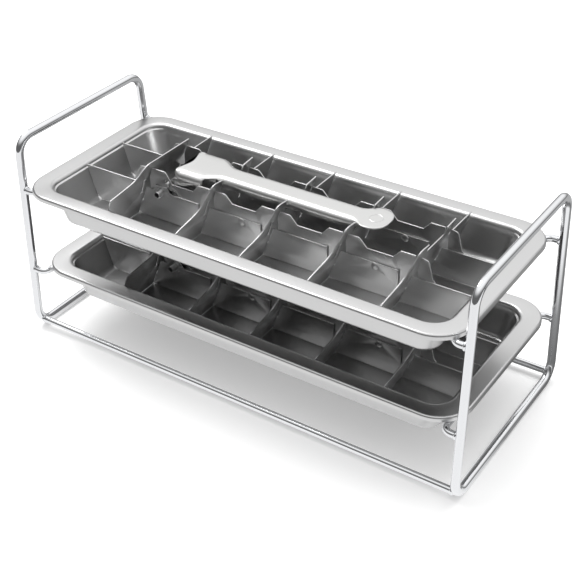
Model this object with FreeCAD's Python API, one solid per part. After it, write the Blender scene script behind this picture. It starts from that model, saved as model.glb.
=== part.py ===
import FreeCAD, Part
import math
import os

# A two-tier chrome wire rack that holds two identical steel ice cube trays, one above the other.
# Each tray is a pressed pan with a lever-worked divider: two long fixed plates, two long notched
# plates that slide beside them, five leaning cross blades and a lever on a tube between the plates.
# Raising the lever pulls the notched plates to the left, and they stand the five blades upright,
# which breaks all the cubes loose at once.
# Millimetres. +X runs along the trays, -Y is the side that the trays slide out of, +Z is up.
# The origin is under the middle of the rack, on the surface that it stands on.

Vector = FreeCAD.Vector

# Wire rack
FRAME_X = 144.0
FRAME_WIRE = 2.5
FRAME_TOP_Z = 126.5
FRAME_BOTTOM_Z = 2.38
FRAME_BOTTOM_HALF = 60.5
FRAME_TOP_HALF = 53.0
FRAME_BEND = 10.0
THIN_WIRE = 2.0
BASE_WIRE_Y = 57.9
BASE_WIRE_Z = 5.2
SHELF_DROP = 5.2
SHELF_X = 134.0
SHELF_BEND = 5.0
WELD_SIZE = 2.9

# Where each tray rests in the rack: the middle of its rim, at the rim's top
TIER_PLACES = {"upper": (0.0, -3.2, 100.4), "lower": (1.0, 1.2, 47.5)}

# Pressed pan, heights from the rim's top
RIM_HALF_X = 140.0
RIM_HALF_Y = 60.0
RIM_CORNER = 20.0
RIM_SKIRT = 3.0
RIM_ROUND = 1.5
PAN_SHEET = 0.7
MOUTH_HALF_X = 128.0
MOUTH_HALF_Y = 49.0
MOUTH_CORNER = 11.0
MOUTH_ROUND = 2.6
FLOOR_HALF_X = 121.5
FLOOR_HALF_Y = 46.0
FLOOR_CORNER = 9.0
PAN_DEPTH = 22.3
PAN_FILLET = 2.5

# Divider plates, heights from the rim's top
SHEET = 0.8
PLATE_GAP = 0.15
DIVIDER_Y = 2.0
FRONT_FIXED_Y = DIVIDER_Y - 17.0
REAR_FIXED_Y = DIVIDER_Y + 15.2
WALL_CLEARANCE = 0.4
FIXED_BOTTOM = -22.0
FIXED_TOPS = (-0.7, -3.0, -3.0, -3.0, -3.0, -4.0)
LUG_LOW = -4.0
LUG_HIGH = 0.6
LUG_FOOT = 7.0
LUG_HEAD = 4.0
SLOT_BOTTOM = -13.0
SLIDE_BOTTOM = -17.0
SLIDE_LEFT = -91.9
FIRST_STEP = -1.6
SLIDE_RIGHT = 105.5
TAB_TOP = 8.4
FIRST_TAB_TOP = 10.3
VALLEY_TOP = 3.5
END_TOP = -4.0
LEFT_TAB = 11.0
RIGHT_TAB = 7.5
TAB_SLOPE = 4.5
TAB_ROUND = 2.0
LAST_TAB_X = 101.6
USUAL_PITCH = 43.0

# Cross blades
BLADE_X = (-89.0, -43.0, 0.0, 43.0, 86.0)
BLADE_LEAN = 20.0
BLADE_HINGE = -20.5
BLADE_FOOT = -1.3
BLADE_NOTCH = 2.6
BLADE_NOTCH_TOP = -12.0
GRIP_HEIGHT = 4.0
SLOT_CLEARANCE = 0.95
I_SLOT_AWAY = 2.6
I_SLOT_HEIGHTS = (-6.0, 3.0)

# Lever, its tube and its link pin
LEVER_TURN = 75.0
PIVOT_X = -70.5
PIVOT_Z = -3.2
TUBE_RADIUS = 2.2
TUBE_WALL = 0.6
TUBE_FRONT = DIVIDER_Y - 21.5
TUBE_REAR = DIVIDER_Y + 17.6
RUNNING = 0.05
PIN_RADIUS = 1.5
PIN_HALF = 17.3
SLOT_PLAY = 0.25
LEVER_TOP = 12.1
LEVER_ROUND = 2.4
HANDLE_DEPTH = 5.0
HEAD_LEFT = -63.2
HEAD_HALF = 14.8
HANDLE_HALF = 7.6
TIP_X = 70.0
TIP_HALF = 10.6
EAR_RADIUS = 4.6
FLANGE_GAP = (-42.5, -38.0)

# Guide rivets
RIVET_X = (-14.0, 71.0)
RIVET_Z = -5.2
RIVET_RADIUS = 1.25
RIVET_HEAD = 2.2
RIVET_HEAD_HIGH = 0.7

# Worked out from the sizes above
LEAN_SLOPE = math.tan(math.radians(BLADE_LEAN))
SLIDE_TRAVEL = (GRIP_HEIGHT - BLADE_HINGE) * LEAN_SLOPE
HALF_TURN = math.radians(LEVER_TURN / 2)
PIN_ARM = SLIDE_TRAVEL / (2 * math.sin(HALF_TURN))
PIN_X = PIVOT_X + PIN_ARM * math.sin(HALF_TURN)
PIN_LOW = PIVOT_Z + PIN_ARM * math.cos(HALF_TURN)
PIN_HIGH = PIVOT_Z + PIN_ARM
FRONT_SLIDE_Y = FRONT_FIXED_Y + SHEET + PLATE_GAP
REAR_SLIDE_Y = REAR_FIXED_Y + SHEET + PLATE_GAP


def box(x_range, y_range, z_range):
    """A box between two corners given as (low, high) pairs."""
    size = [high - low for low, high in (x_range, y_range, z_range)]
    return Part.makeBox(*size, Vector(x_range[0], y_range[0], z_range[0]))


def rod(start, end, radius):
    """A round rod between two points."""
    axis = end.sub(start)
    return Part.makeCylinder(radius, axis.Length, start, axis)


def fuse_all(solids):
    """One shape from overlapping or touching solids, with the seams between them removed."""
    whole = solids[0]
    if len(solids) > 1:
        whole = whole.multiFuse(solids[1:])
    return whole.removeSplitter()


def bent_wire(points, bend, radius):
    """A round wire through the points, with an arc of the bend radius at each inner point."""
    edges = []
    start = points[0]
    for before, corner, after in zip(points, points[1:], points[2:]):
        to_before = before.sub(corner).normalize()
        to_after = after.sub(corner).normalize()
        half_angle = to_before.getAngle(to_after) / 2
        setback = bend / math.tan(half_angle)
        arc_start = corner + to_before * setback
        arc_end = corner + to_after * setback
        inward = (to_before + to_after).normalize()
        centre = corner + inward * (bend / math.sin(half_angle))
        arc_middle = centre - inward * bend
        edges.append(Part.LineSegment(start, arc_start).toShape())
        edges.append(Part.Arc(arc_start, arc_middle, arc_end).toShape())
        start = arc_end
    edges.append(Part.LineSegment(start, points[-1]).toShape())
    section = Part.Wire(Part.makeCircle(radius, points[0], points[1].sub(points[0])))
    return Part.Wire(edges).makePipeShell([section], True, False)


def frame_half_width(height):
    """Half the distance between an end frame's two uprights at a height."""
    share = (height - FRAME_BOTTOM_Z) / (FRAME_TOP_Z - FRAME_BOTTOM_Z)
    return FRAME_BOTTOM_HALF + (FRAME_TOP_HALF - FRAME_BOTTOM_HALF) * share


def end_frame(side):
    """A closed loop of thick wire, narrower at the top, with its lowest side ground flat."""
    x = side * FRAME_X
    halves = []
    for turn in (-1, 1):
        path = (
            Vector(x, 0, FRAME_BOTTOM_Z),
            Vector(x, turn * FRAME_BOTTOM_HALF, FRAME_BOTTOM_Z),
            Vector(x, turn * FRAME_TOP_HALF, FRAME_TOP_Z),
            Vector(x, 0, FRAME_TOP_Z),
        )
        halves.append(bent_wire(path, FRAME_BEND, FRAME_WIRE))
    loop = fuse_all(halves)
    below_floor = box((x - 5, x + 5), (-80, 80), (-5, 0))
    return loop.cut(below_floor)


def weld(point):
    """A small round weld blob."""
    return Part.makeSphere(WELD_SIZE, point)


def base_wire(side, frames):
    """A straight wire along the foot of the rack, butted and welded to both end frames."""
    y = side * BASE_WIRE_Y
    ends = [Vector(x, y, BASE_WIRE_Z) for x in (-FRAME_X, FRAME_X)]
    wire = fuse_all([rod(ends[0], ends[1], THIN_WIRE)] + [weld(end) for end in ends])
    beyond = [box((low, low + 20), (-80, 80), (-5, 30)) for low in (-FRAME_X - 20, FRAME_X)]
    return wire.cut(frames + beyond + [box((-160, 160), (-80, 80), (-5, 0.5))])


def tray_support(side, rim_top, frames):
    """A bent wire between an end frame's uprights that carries one end of a tray."""
    z = rim_top - SHELF_DROP
    half = frame_half_width(z)
    path = (
        Vector(side * FRAME_X, -half, z),
        Vector(side * SHELF_X, -half, z),
        Vector(side * SHELF_X, half, z),
        Vector(side * FRAME_X, half, z),
    )
    wire = bent_wire(path, SHELF_BEND, THIN_WIRE)
    wire = fuse_all([wire, weld(path[0]), weld(path[-1])])
    outside = box(sorted((side * FRAME_X, side * (FRAME_X + 20))), (-80, 80), (z - 9, z + 9))
    return wire.cut(frames + [outside])


def rounded_rectangle(half_x, half_y, corner, z):
    """A closed wire of four lines and four arcs."""
    edges = []
    for turn in range(4):
        flip_x = (1, -1, -1, 1)[turn]
        flip_y = (1, 1, -1, -1)[turn]
        centre = Vector(flip_x * (half_x - corner), flip_y * (half_y - corner), z)
        first = math.radians(90 * turn)
        bearings = [first + math.radians(step) for step in (0, 45, 90)]
        arc = [centre + Vector(math.cos(a), math.sin(a), 0) * corner for a in bearings]
        edges.append(Part.Arc(*arc).toShape())
    for turn in range(4):
        start = edges[turn].Vertexes[-1].Point
        end = edges[(turn + 1) % 4].Vertexes[0].Point
        edges.append(Part.LineSegment(start, end).toShape())
    return Part.Wire(Part.__sortEdges__(edges))


def slab(half_x, half_y, corner, low, high):
    """A block with rounded corners in plan."""
    outline = rounded_rectangle(half_x, half_y, corner, low)
    return Part.Face(outline).extrude(Vector(0, 0, high - low))


def edges_at(shape, z):
    """The edges that lie wholly at one height."""
    flat = []
    for edge in shape.Edges:
        if abs(edge.BoundBox.ZMin - z) < 1e-4 and abs(edge.BoundBox.ZMax - z) < 1e-4:
            flat.append(edge)
    return flat


def pan_size(height):
    """The inside half length, half width and corner radius at a height below the rim."""
    share = -height / PAN_DEPTH
    return (
        MOUTH_HALF_X + (FLOOR_HALF_X - MOUTH_HALF_X) * share,
        MOUTH_HALF_Y + (FLOOR_HALF_Y - MOUTH_HALF_Y) * share,
        MOUTH_CORNER + (FLOOR_CORNER - MOUTH_CORNER) * share,
    )


def tapered_tub(grow, top, bottom, fillet):
    """The pan's tapering inside, or its outside when grown by the sheet, with a round bottom edge."""
    sections = []
    for height in (bottom, top):
        half_x, half_y, corner = pan_size(height)
        sections.append(rounded_rectangle(half_x + grow, half_y + grow, corner + grow, height))
    tub = Part.makeLoft(sections, True, True)
    return tub.makeFillet(fillet, edges_at(tub, bottom))


def mouth_edges(shape, height):
    """The edges round the pan's mouth at one height, without those of the rim's outline."""
    middle = (RIM_HALF_X + MOUTH_HALF_X) / 2
    return [edge for edge in edges_at(shape, height) if edge.BoundBox.XMax < middle
            and edge.BoundBox.XMin > -middle and abs(edge.CenterOfMass.y) < (RIM_HALF_Y + MOUTH_HALF_Y) / 2]


def pan():
    """The pressed pan: a tapering tub with a flat rim, a rounded mouth and a turned-down skirt."""
    rim = slab(RIM_HALF_X, RIM_HALF_Y, RIM_CORNER, -RIM_SKIRT, 0)
    rim = rim.makeFillet(RIM_ROUND, edges_at(rim, 0))
    under = slab(
        RIM_HALF_X - PAN_SHEET, RIM_HALF_Y - PAN_SHEET, RIM_CORNER - PAN_SHEET, -RIM_SKIRT - 1, -PAN_SHEET
    )
    under = under.makeFillet(RIM_ROUND - PAN_SHEET, edges_at(under, -PAN_SHEET))
    outside = tapered_tub(PAN_SHEET, -PAN_SHEET / 2, -PAN_DEPTH - PAN_SHEET, PAN_FILLET + PAN_SHEET)
    solid = rim.cut(under).fuse(outside).removeSplitter()
    solid = solid.makeFillet(MOUTH_ROUND - PAN_SHEET, mouth_edges(solid, -PAN_SHEET))
    shell = solid.cut(tapered_tub(0, 1, -PAN_DEPTH, PAN_FILLET)).removeSplitter()
    return shell.makeFillet(MOUTH_ROUND, mouth_edges(shell, 0))


def sheet(points, low_y):
    """A flat plate of the divider sheet from an outline of (x, z) points."""
    corners = [Vector(x, low_y, z) for x, z in points]
    outline = Part.makePolygon(corners + corners[:1])
    return Part.Face(outline).extrude(Vector(0, SHEET, 0))


def across(x, z, radius, low_y=-50.0, high_y=50.0):
    """A rod along Y, for a hole or a pin."""
    return rod(Vector(x, low_y, z), Vector(x, high_y, z), radius)


def long_hole(start, end, radius):
    """A cutter for a slot with round ends between two (x, z) points."""
    (x0, z0), (x1, z1) = start, end
    ends = [across(x0, z0, radius), across(x1, z1, radius)]
    along = Vector(x1 - x0, 0, z1 - z0)
    aside = Vector(-along.z, 0, along.x).normalize() * radius
    first = Vector(x0, -50, z0)
    last = Vector(x1, -50, z1)
    corners = [first + aside, last + aside, last - aside, first - aside]
    middle = Part.Face(Part.makePolygon(corners + corners[:1])).extrude(Vector(0, 100, 0))
    return ends[0].multiFuse([ends[1], middle])


def end_profile(side, top):
    """The (x, z) points where a long plate follows the pan's end wall, from the floor up."""
    points = []
    for height, inset in ((FIXED_BOTTOM, PAN_FILLET), (FIXED_BOTTOM + PAN_FILLET, 0.0), (top, 0.0)):
        reach = pan_size(height)[0] - WALL_CLEARANCE - inset
        points.append((side * reach, height))
    return points


def fixed_plate(low_y):
    """A long plate that stands still, with a widening slot for each blade and a lug for the tube."""
    outline = end_profile(-1, FIXED_TOPS[0])
    last_top = FIXED_TOPS[0]
    for x, top in zip(BLADE_X, FIXED_TOPS[1:]):
        outline.append((x + 2, last_top))
        outline.append((x + 2, top))
        last_top = top
    outline += reversed(end_profile(1, FIXED_TOPS[-1]))
    plate = sheet(outline, low_y)
    lug = [(-LUG_FOOT, LUG_LOW), (-LUG_HEAD, LUG_HIGH), (LUG_HEAD, LUG_HIGH), (LUG_FOOT, LUG_LOW)]
    plate = plate.fuse(sheet([(PIVOT_X + x, z) for x, z in lug], low_y))
    cutters = [across(PIVOT_X, PIVOT_Z, TUBE_RADIUS + RUNNING)]
    cutters += [across(x, RIVET_Z, RIVET_RADIUS + RUNNING) for x in RIVET_X]
    cutters += [blade_slot(x, low_y, False) for x in BLADE_X]
    return plate.cut(cutters).removeSplitter()


def blade_slot(x, low_y, sliding):
    """The cutter for a blade's slot: a wedge in a fixed plate, an hourglass in a sliding one."""
    heights = (SLOT_BOTTOM, GRIP_HEIGHT, FIRST_TAB_TOP + 2)
    left = []
    right = []
    for height in heights:
        below = min(height, GRIP_HEIGHT) if sliding else BLADE_HINGE
        above = max(height, GRIP_HEIGHT) if sliding else height
        left.append((x + (below - BLADE_HINGE) * LEAN_SLOPE - SLOT_CLEARANCE, height))
        right.append((x + (above - BLADE_HINGE) * LEAN_SLOPE + SLOT_CLEARANCE, height))
    corners = [Vector(a, low_y - 1, b) for a, b in left + right[::-1]]
    outline = Part.makePolygon(corners + corners[:1])
    return Part.Face(outline).extrude(Vector(0, SHEET + 2, 0))


def rounded_corner(before, corner, after, radius):
    """Four (x, z) points on an arc that rounds a corner between two straight edges."""
    at = Vector(corner[0], 0, corner[1])
    back = Vector(before[0], 0, before[1]).sub(at).normalize()
    ahead = Vector(after[0], 0, after[1]).sub(at).normalize()
    half = back.getAngle(ahead) / 2
    inward = (back + ahead).normalize()
    centre = at + inward * (radius / math.sin(half))
    aside = (ahead - back).normalize()
    points = []
    for share in (-1, -1 / 3, 1 / 3, 1):
        turn = share * (math.pi / 2 - half)
        point = centre - inward * (radius * math.cos(turn)) + aside * (radius * math.sin(turn))
        points.append((point.x, point.z))
    return points


def notched_plate(low_y):
    """The long sliding plate, with a raised tab each side of every blade and a dip between."""
    outline = [(SLIDE_LEFT, SLIDE_BOTTOM), (SLIDE_LEFT, FIRST_STEP), (BLADE_X[0] + 3.6, TAB_TOP + 1)]
    for number, (x, after) in enumerate(zip(BLADE_X, BLADE_X[1:])):
        top = FIRST_TAB_TOP if number == 0 else TAB_TOP
        blade_top_x = x + (top - BLADE_HINGE) * LEAN_SLOPE
        next_top_x = after + (TAB_TOP - BLADE_HINGE) * LEAN_SLOPE
        tab_end = blade_top_x + RIGHT_TAB + after - x - USUAL_PITCH
        tab = [(blade_top_x, top), (tab_end, top), (tab_end + TAB_SLOPE, VALLEY_TOP)]
        outline += tab[:1] + rounded_corner(*tab, TAB_ROUND) + tab[2:]
        outline += [
            (next_top_x - LEFT_TAB - TAB_SLOPE, VALLEY_TOP),
            (next_top_x - LEFT_TAB, TAB_TOP),
            (next_top_x, TAB_TOP),
        ]
    last_tab = [(next_top_x, TAB_TOP), (LAST_TAB_X, TAB_TOP - 1.0), (LAST_TAB_X + 2.6, END_TOP + 1.0)]
    outline += rounded_corner(*last_tab, TAB_ROUND) + last_tab[2:]
    outline += [(SLIDE_RIGHT, END_TOP), (SLIDE_RIGHT, SLIDE_BOTTOM)]
    plate = sheet(outline, low_y)
    tube_slot = TUBE_RADIUS + SLOT_PLAY
    rivet_slot = RIVET_RADIUS + SLOT_PLAY
    cutters = [long_hole((PIVOT_X, PIVOT_Z), (PIVOT_X + SLIDE_TRAVEL, PIVOT_Z), tube_slot)]
    cutters += [long_hole((x, RIVET_Z), (x + SLIDE_TRAVEL, RIVET_Z), rivet_slot) for x in RIVET_X]
    cutters.append(long_hole((PIN_X, PIN_LOW), (PIN_X, PIN_HIGH), PIN_RADIUS + SLOT_PLAY))
    cutters += [blade_slot(x, low_y, True) for x in BLADE_X]
    return plate.cut(cutters).removeSplitter()


def up_blade(height):
    """The distance up the blade from its hinge line to a height measured while it leans."""
    return (height - BLADE_HINGE) / math.cos(math.radians(BLADE_LEAN))


def curve(points):
    """A smooth edge through the points."""
    spline = Part.BSplineCurve()
    spline.interpolate(points)
    return spline.toShape()


def blade_outline(number, at):
    """The edges of a blade's outline, starting up the front wall, in (y, height) while it leans."""
    wall_low = pan_size(FIXED_BOTTOM)[1] - WALL_CLEARANCE - PAN_FILLET
    wall_mid = pan_size(FIXED_BOTTOM + PAN_FILLET)[1] - WALL_CLEARANCE
    if number == 0:
        front = [(-47.4, 1.0), (-47.2, 3.9), (-30.6, 6.4)]
        swell = [(-30.6, 6.4), (-25.7, 8.3), (-19.2, 13.2), (-14.0, 14.3)]
        middle = [(-14.0, 14.3), (20.0, 14.3)]
    else:
        front = [(-47.4, -7.6), (-46.2, -5.9), (-44.6, -6.0)]
        swell = [(-44.6, -6.0), (-35.0, -2.8), (-25.5, 0.6), (-21.0, 6.5), (-19.0, 11.6), (-14.5, 13.9)]
        dip = 8.2 if number == 4 else 5.5
        middle = [(-14.5, 13.9), (-7.6, 12.9), (-7.6, dip), (11.4, dip), (11.4, 13.4), (20.0, 14.6)]
    rear = [(20.0, 3.0), (47.4, 3.5)]
    foot_rear = [(wall_mid, FIXED_BOTTOM + PAN_FILLET), (wall_low, None)]
    foot_front = [(-wall_low, None), (-wall_mid, FIXED_BOTTOM + PAN_FILLET)]
    lines = [front, middle + rear + foot_rear + foot_front + front[:1]]
    edges = [curve([at(*point) for point in swell])]
    for line in lines:
        for start, end in zip(line, line[1:]):
            edges.append(Part.LineSegment(at(*start), at(*end)).toShape())
    return edges


def blade(number):
    """A cross blade, notched from below over both pairs of long plates and leaning to the right."""
    x = BLADE_X[number]
    hinge = Vector(x, 0, BLADE_HINGE)

    def at(y, height):
        rise = BLADE_FOOT if height is None else up_blade(height)
        return Vector(x - SHEET / 2, y, hinge.z + rise)

    outline = Part.Wire(Part.__sortEdges__(blade_outline(number, at)))
    upright = Part.Face(outline).extrude(Vector(SHEET, 0, 0))
    notch_top = hinge.z + up_blade(BLADE_NOTCH_TOP)
    for middle in (FRONT_SLIDE_Y - PLATE_GAP / 2, REAR_SLIDE_Y - PLATE_GAP / 2):
        half = BLADE_NOTCH / 2
        notch = box((x - 2, x + 2), (middle - half, middle + half), (hinge.z - 5, notch_top))
        upright = upright.cut(notch)
    upright = upright.cut(i_slot(x, FRONT_FIXED_Y - I_SLOT_AWAY))
    upright.rotate(hinge, Vector(0, 1, 0), BLADE_LEAN)
    return upright


def i_slot(x, y):
    """The cutter for the narrow slot with wider ends beside the front plates."""
    low = BLADE_HINGE + up_blade(I_SLOT_HEIGHTS[0])
    high = BLADE_HINGE + up_blade(I_SLOT_HEIGHTS[1])
    reach_x = (x - 2, x + 2)
    stem = box(reach_x, (y - 0.4, y + 0.4), (low, high))
    ends = [box(reach_x, (y - 1.2, y + 1.2), (z - 0.5, z + 0.5)) for z in (low, high)]
    return stem.multiFuse(ends)


def lever_outline(inset, z):
    """The lever's closed outline in plan, drawn inside its edge by an inset."""
    head = HEAD_HALF - inset
    handle = HANDLE_HALF - inset
    tip = TIP_HALF - inset
    left = HEAD_LEFT + inset
    end = TIP_X - inset
    side = [(-45.0, head), (-41.5, (head + handle) / 2 + 1.0), (-36.5, handle + 0.3), (-31.0, handle)]
    neck = [(52.0, handle), (57.0, handle + 1.4), (61.5, tip)]

    def at(point, flip=1):
        return Vector(point[0], point[1] * flip, z)

    edges = []
    for flip in (1, -1):
        edges.append(Part.LineSegment(at((left, 0)), at((left, head), flip)).toShape())
        edges.append(Part.LineSegment(at((left, head), flip), at(side[0], flip)).toShape())
        edges.append(curve([at(point, flip) for point in side]))
        edges.append(Part.LineSegment(at(side[-1], flip), at(neck[0], flip)).toShape())
        edges.append(curve([at(point, flip) for point in neck]))
        edges.append(curve([at(neck[-1], flip), at((end - 3.2, tip * 0.72), flip), at((end, 0))]))
    return Part.Wire(Part.__sortEdges__(edges))


def ear(low_y):
    """One side of the lever's head: a cheek that comes down to the tube."""
    outline = [
        (PIVOT_X - 3.6, PIVOT_Z + 2.9),
        (HEAD_LEFT + 0.2, LEVER_TOP - 2.5),
        (-45.0, LEVER_TOP - 2.5),
        (-45.0, LEVER_TOP - HANDLE_DEPTH),
        (-52.0, LEVER_TOP - HANDLE_DEPTH - 1.0),
        (-58.0, 3.2),
        (PIVOT_X + 3.0, PIVOT_Z - 3.5),
    ]
    boss = across(PIVOT_X, PIVOT_Z, EAR_RADIUS, low_y, low_y + SHEET)
    return sheet(outline, low_y).fuse(boss)


def lever():
    """The lever: an inverted channel with a broad head, two cheeks on the tube and a flat tip."""
    low = LEVER_TOP - HANDLE_DEPTH
    outside = Part.Face(lever_outline(0, low)).extrude(Vector(0, 0, HANDLE_DEPTH))
    outside = outside.makeFillet(LEVER_ROUND, edges_at(outside, LEVER_TOP))
    inside = Part.Face(lever_outline(SHEET, low - 1)).extrude(Vector(0, 0, HANDLE_DEPTH + 1 - SHEET))
    inside = inside.makeFillet(LEVER_ROUND - SHEET, edges_at(inside, LEVER_TOP - SHEET))
    shell = outside.cut(inside)
    open_end = box((HEAD_LEFT - 2, HEAD_LEFT + 2), (-12, 12), (low - 2, LEVER_TOP - 2.6))
    tip_trim = box((57, TIP_X + 5), (-20, 20), (low - 2, LEVER_TOP - 2.2))
    shell = shell.cut([open_end, tip_trim])
    cheeks = [ear(-HEAD_HALF), ear(HEAD_HALF - SHEET)]
    whole = shell.multiFuse(cheeks)
    gap_z = low + 0.6
    holes = [
        across(PIVOT_X, PIVOT_Z, TUBE_RADIUS + RUNNING),
        across(PIN_X, PIN_LOW, PIN_RADIUS + RUNNING),
        long_hole((FLANGE_GAP[0], gap_z), (FLANGE_GAP[1], gap_z), 1.4),
    ]
    whole = whole.cut(holes).removeSplitter()
    return whole.translated(Vector(0, DIVIDER_Y, 0))


def pivot_tube():
    """The tube that the lever turns on, standing out of the front plate."""
    outer = across(PIVOT_X, PIVOT_Z, TUBE_RADIUS, TUBE_FRONT, TUBE_REAR)
    inner = across(PIVOT_X, PIVOT_Z, TUBE_RADIUS - TUBE_WALL, TUBE_FRONT - 1, TUBE_REAR + 1)
    return outer.cut(inner)


def link_pin():
    """The pin through the lever's cheeks that pushes both notched plates."""
    return across(PIN_X, PIN_LOW, PIN_RADIUS, DIVIDER_Y - PIN_HALF, DIVIDER_Y + PIN_HALF)


def guide_rivets():
    """The rivets that hold each notched plate beside its fixed plate and let it slide."""
    rivets = []
    for front in (FRONT_FIXED_Y, REAR_FIXED_Y):
        back = front + 2 * SHEET + 2 * PLATE_GAP
        for x in RIVET_X:
            shank = across(x, RIVET_Z, RIVET_RADIUS, front, back)
            heads = [
                across(x, RIVET_Z, RIVET_HEAD, front - RIVET_HEAD_HIGH, front),
                across(x, RIVET_Z, RIVET_HEAD, back, back + RIVET_HEAD_HIGH),
            ]
            rivets.append(shank.multiFuse(heads).removeSplitter())
    return Part.makeCompound(rivets)


def rack_nodes():
    """The nodes of the wire rack."""
    left = end_frame(-1)
    right = end_frame(1)
    frames = [left, right]
    nodes = {
        "left_end_frame": left,
        "right_end_frame": right,
        "front_base_wire": base_wire(-1, frames),
        "rear_base_wire": base_wire(1, frames),
    }
    for tier, place in TIER_PLACES.items():
        nodes[tier + "_left_support"] = tray_support(-1, place[2], frames)
        nodes[tier + "_right_support"] = tray_support(1, place[2], frames)
    return nodes


def tray_nodes():
    """The nodes of one tray with its divider, with the middle of the rim's top at the origin."""
    nodes = {
        "pan": pan(),
        "front_fixed_plate": fixed_plate(FRONT_FIXED_Y),
        "rear_fixed_plate": fixed_plate(REAR_FIXED_Y),
        "front_notched_plate": notched_plate(FRONT_SLIDE_Y),
        "rear_notched_plate": notched_plate(REAR_SLIDE_Y),
        "lever": lever(),
        "pivot_tube": pivot_tube(),
        "link_pin": link_pin(),
        "guide_rivets": guide_rivets(),
    }
    for number in range(len(BLADE_X)):
        nodes["blade_%d" % (number + 1)] = blade(number)
    return nodes


def main():
    """Build every node and write one STEP file for each."""
    os.makedirs("parts", exist_ok=True)
    nodes = rack_nodes()
    for name, shape in tray_nodes().items():
        for tier, place in TIER_PLACES.items():
            nodes[tier + "_" + name] = shape.translated(Vector(*place))
    for name, shape in nodes.items():
        print(name, len(shape.Solids), "solids", round(shape.Volume, 1), "mm3", shape.isValid())
        shape.exportStep("parts/" + name + ".step")


main()
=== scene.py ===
"""Looks of a two-tier wire rack that holds two steel ice cube trays with lever-worked dividers.

Every length in the classes is in millimetres; meshes are written in metres, in the frame's own axes.
"""
import logging
import math
from dataclasses import dataclass
from enum import Enum
from typing import Any, Sequence

import bmesh
import bpy
import numpy as np
from mathutils import Matrix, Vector
from mathutils.geometry import tessellate_polygon


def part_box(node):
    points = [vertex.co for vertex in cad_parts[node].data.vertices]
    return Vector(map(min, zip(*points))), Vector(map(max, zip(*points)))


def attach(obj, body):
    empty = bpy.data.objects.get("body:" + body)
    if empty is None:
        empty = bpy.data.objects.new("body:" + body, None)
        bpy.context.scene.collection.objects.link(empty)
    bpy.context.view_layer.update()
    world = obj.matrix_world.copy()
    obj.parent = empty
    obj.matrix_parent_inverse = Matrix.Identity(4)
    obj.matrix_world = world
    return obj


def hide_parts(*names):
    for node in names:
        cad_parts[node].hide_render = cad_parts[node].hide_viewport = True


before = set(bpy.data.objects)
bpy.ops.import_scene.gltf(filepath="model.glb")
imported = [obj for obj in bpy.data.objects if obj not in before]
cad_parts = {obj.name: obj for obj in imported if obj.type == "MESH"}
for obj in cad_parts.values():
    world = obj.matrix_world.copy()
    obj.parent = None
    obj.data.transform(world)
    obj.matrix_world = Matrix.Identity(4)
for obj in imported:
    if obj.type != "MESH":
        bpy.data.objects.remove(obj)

MM = 0.001
TAU = 2.0 * math.pi
CREASE_DEGREES = 38.0
MERGE_METRES = 1e-7
BEND_POINTS = 17
Array = np.ndarray
Mesh = tuple[Array, list[list[int]]]
Section = Sequence[tuple[float, float]]
LOG = logging.getLogger("ice_tray_set")
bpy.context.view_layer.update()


class Tier(Enum):
    """The two levels of the rack."""

    UPPER = "upper"
    LOWER = "lower"

    def node(self, name: str) -> str:
        """The name of one of this tier's nodes."""
        return self.value + "_" + name


class Slot(Enum):
    """The record's material slots."""

    WIRE = "chrome_wire"
    PAN = "pan_steel"
    DIVIDER = "divider_steel"
    LEVER = "lever_steel"


# Meshes


def make_object(
    name: str, shape: Mesh, steel: bpy.types.Material, flat: Array | None = None
) -> bpy.types.Object:
    """Puts a closed mesh in the scene, with coincident points joined and its faces turned outward.

    Args:
        name: the piece's name.
        shape: points in millimetres and faces as vertex numbers.
        steel: the piece's material.
        flat: whether each face is shaded flat; all are smooth without it.

    Returns:
        The new object, at the origin.
    """
    points, faces = shape
    mesh = bpy.data.meshes.new(name)
    mesh.from_pydata((np.asarray(points) * MM).tolist(), [], [list(map(int, face)) for face in faces])
    smooth = np.full(len(faces), True) if flat is None else ~flat
    mesh.polygons.foreach_set("use_smooth", smooth)
    skin = bmesh.new()
    skin.from_mesh(mesh)
    bmesh.ops.remove_doubles(skin, verts=skin.verts, dist=MERGE_METRES)
    bmesh.ops.recalc_face_normals(skin, faces=skin.faces)
    skin.to_mesh(mesh)
    skin.free()
    mesh.set_sharp_from_angle(angle=math.radians(CREASE_DEGREES))
    mesh.materials.append(steel)
    piece = bpy.data.objects.new(name, mesh)
    bpy.context.collection.objects.link(piece)
    return piece


def carry(piece: bpy.types.Object, body: str, node: str) -> None:
    """Makes a piece ride on a body and stand for a CAD node, and reports it.

    Args:
        piece: the finished piece.
        body: the body that it moves with.
        node: the CAD node that it stands for.
    """
    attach(piece, body)
    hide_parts(node)
    LOG.info("%s rides on %s", piece.name, body)


def node_box(node: str) -> tuple[Array, Array]:
    """The low and high corners of a CAD node's box, in millimetres."""
    low, high = (np.array(corner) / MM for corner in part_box(node))
    return low, high


def tray_place(tier: Tier) -> Array:
    """The middle of a tray's rim, at the rim's top, in millimetres."""
    low, high = node_box(tier.node("pan"))
    return np.array([(low[0] + high[0]) / 2.0, (low[1] + high[1]) / 2.0, high[2]])


def arc(start: float, end: float, count: int) -> Array:
    """Evenly spaced angles, given in degrees and returned in radians."""
    return np.radians(np.linspace(start, end, count))


def circle_points(angle: Array) -> Array:
    """Points (cos a, sin a) of the unit circle, one row each."""
    return np.stack([np.cos(angle), np.sin(angle)], axis=-1)


def pairs(x: Array | float, y: Array | float) -> Array:
    """Points (x, y), one row each; a single number is repeated."""
    return np.stack(np.broadcast_arrays(x, y), axis=-1)


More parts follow.
